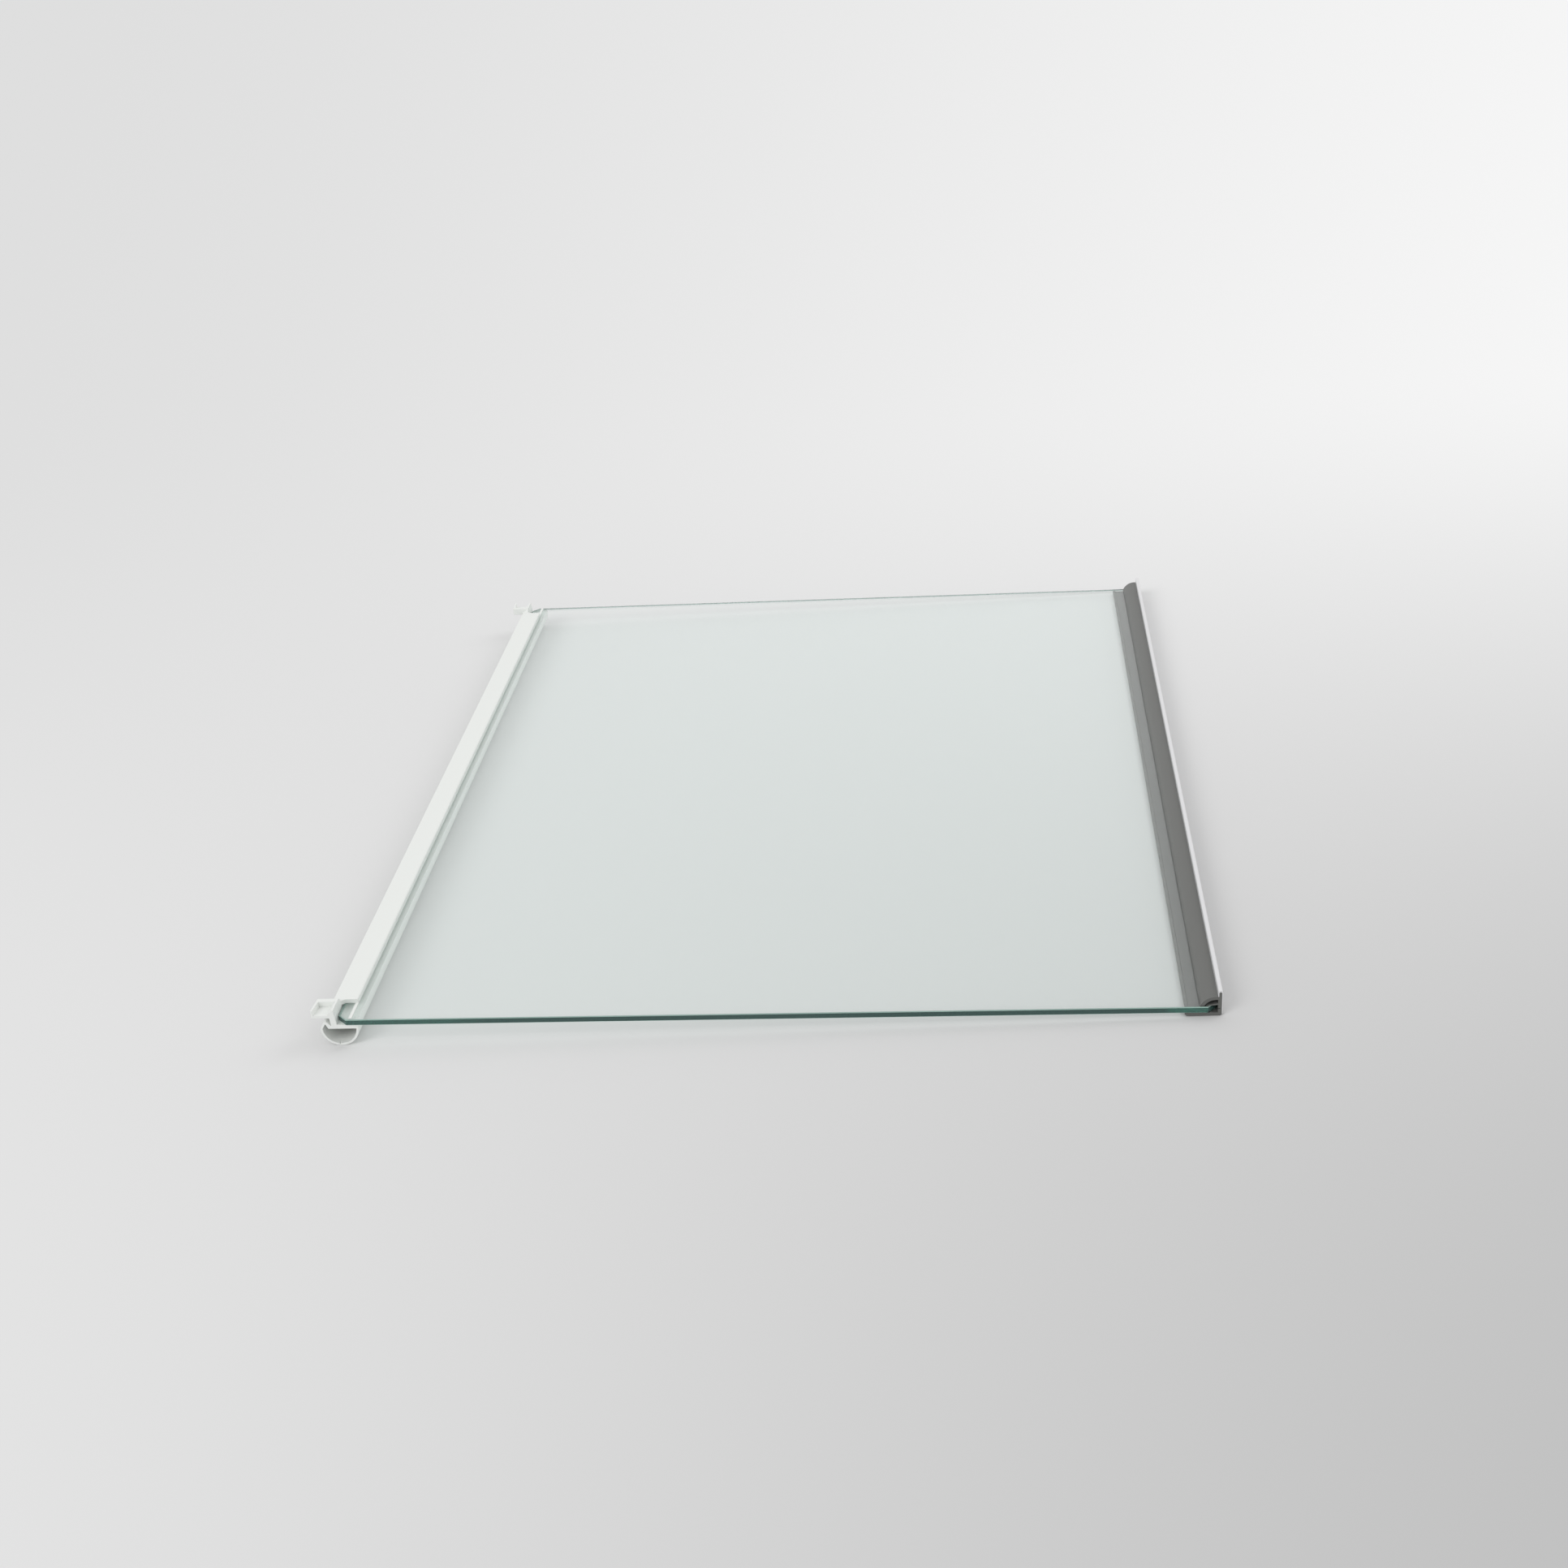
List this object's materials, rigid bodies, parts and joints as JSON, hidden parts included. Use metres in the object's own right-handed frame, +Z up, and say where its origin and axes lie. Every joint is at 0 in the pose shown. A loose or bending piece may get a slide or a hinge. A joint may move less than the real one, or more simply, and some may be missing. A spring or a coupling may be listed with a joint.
{
  "type": "refrigerator shelf",
  "caption": "Refrigerator shelf: clear glass plate held by a white hollow rear trim with end pockets and a dark grey front trim with a soft lip and a bright facing",
  "frame": {"origin": "under the middle of the shelf, on the level of its lowest point, the underside of the rear trim's hollow bar", "axes": "+X from the rear edge with the white trim to the front edge with the grey trim, +Y along both trims, +Z up"},
  "size_m": [0.4232, 0.52, 0.0224],
  "materials": {
    "glass": "clear toughened glass, pale green at its edges, ground bevels",
    "white_plastic": "white moulded plastic, soft sheen",
    "grey_plastic": "dark grey extruded plastic, satin",
    "bright_facing": "thin silver-white facing, smooth"
  },
  "bodies": {
    "root": {"glass_panel": "glass", "rear_trim": "white_plastic", "front_trim": "grey_plastic", "front_facing": "bright_facing"}
  },
  "joints": []
}
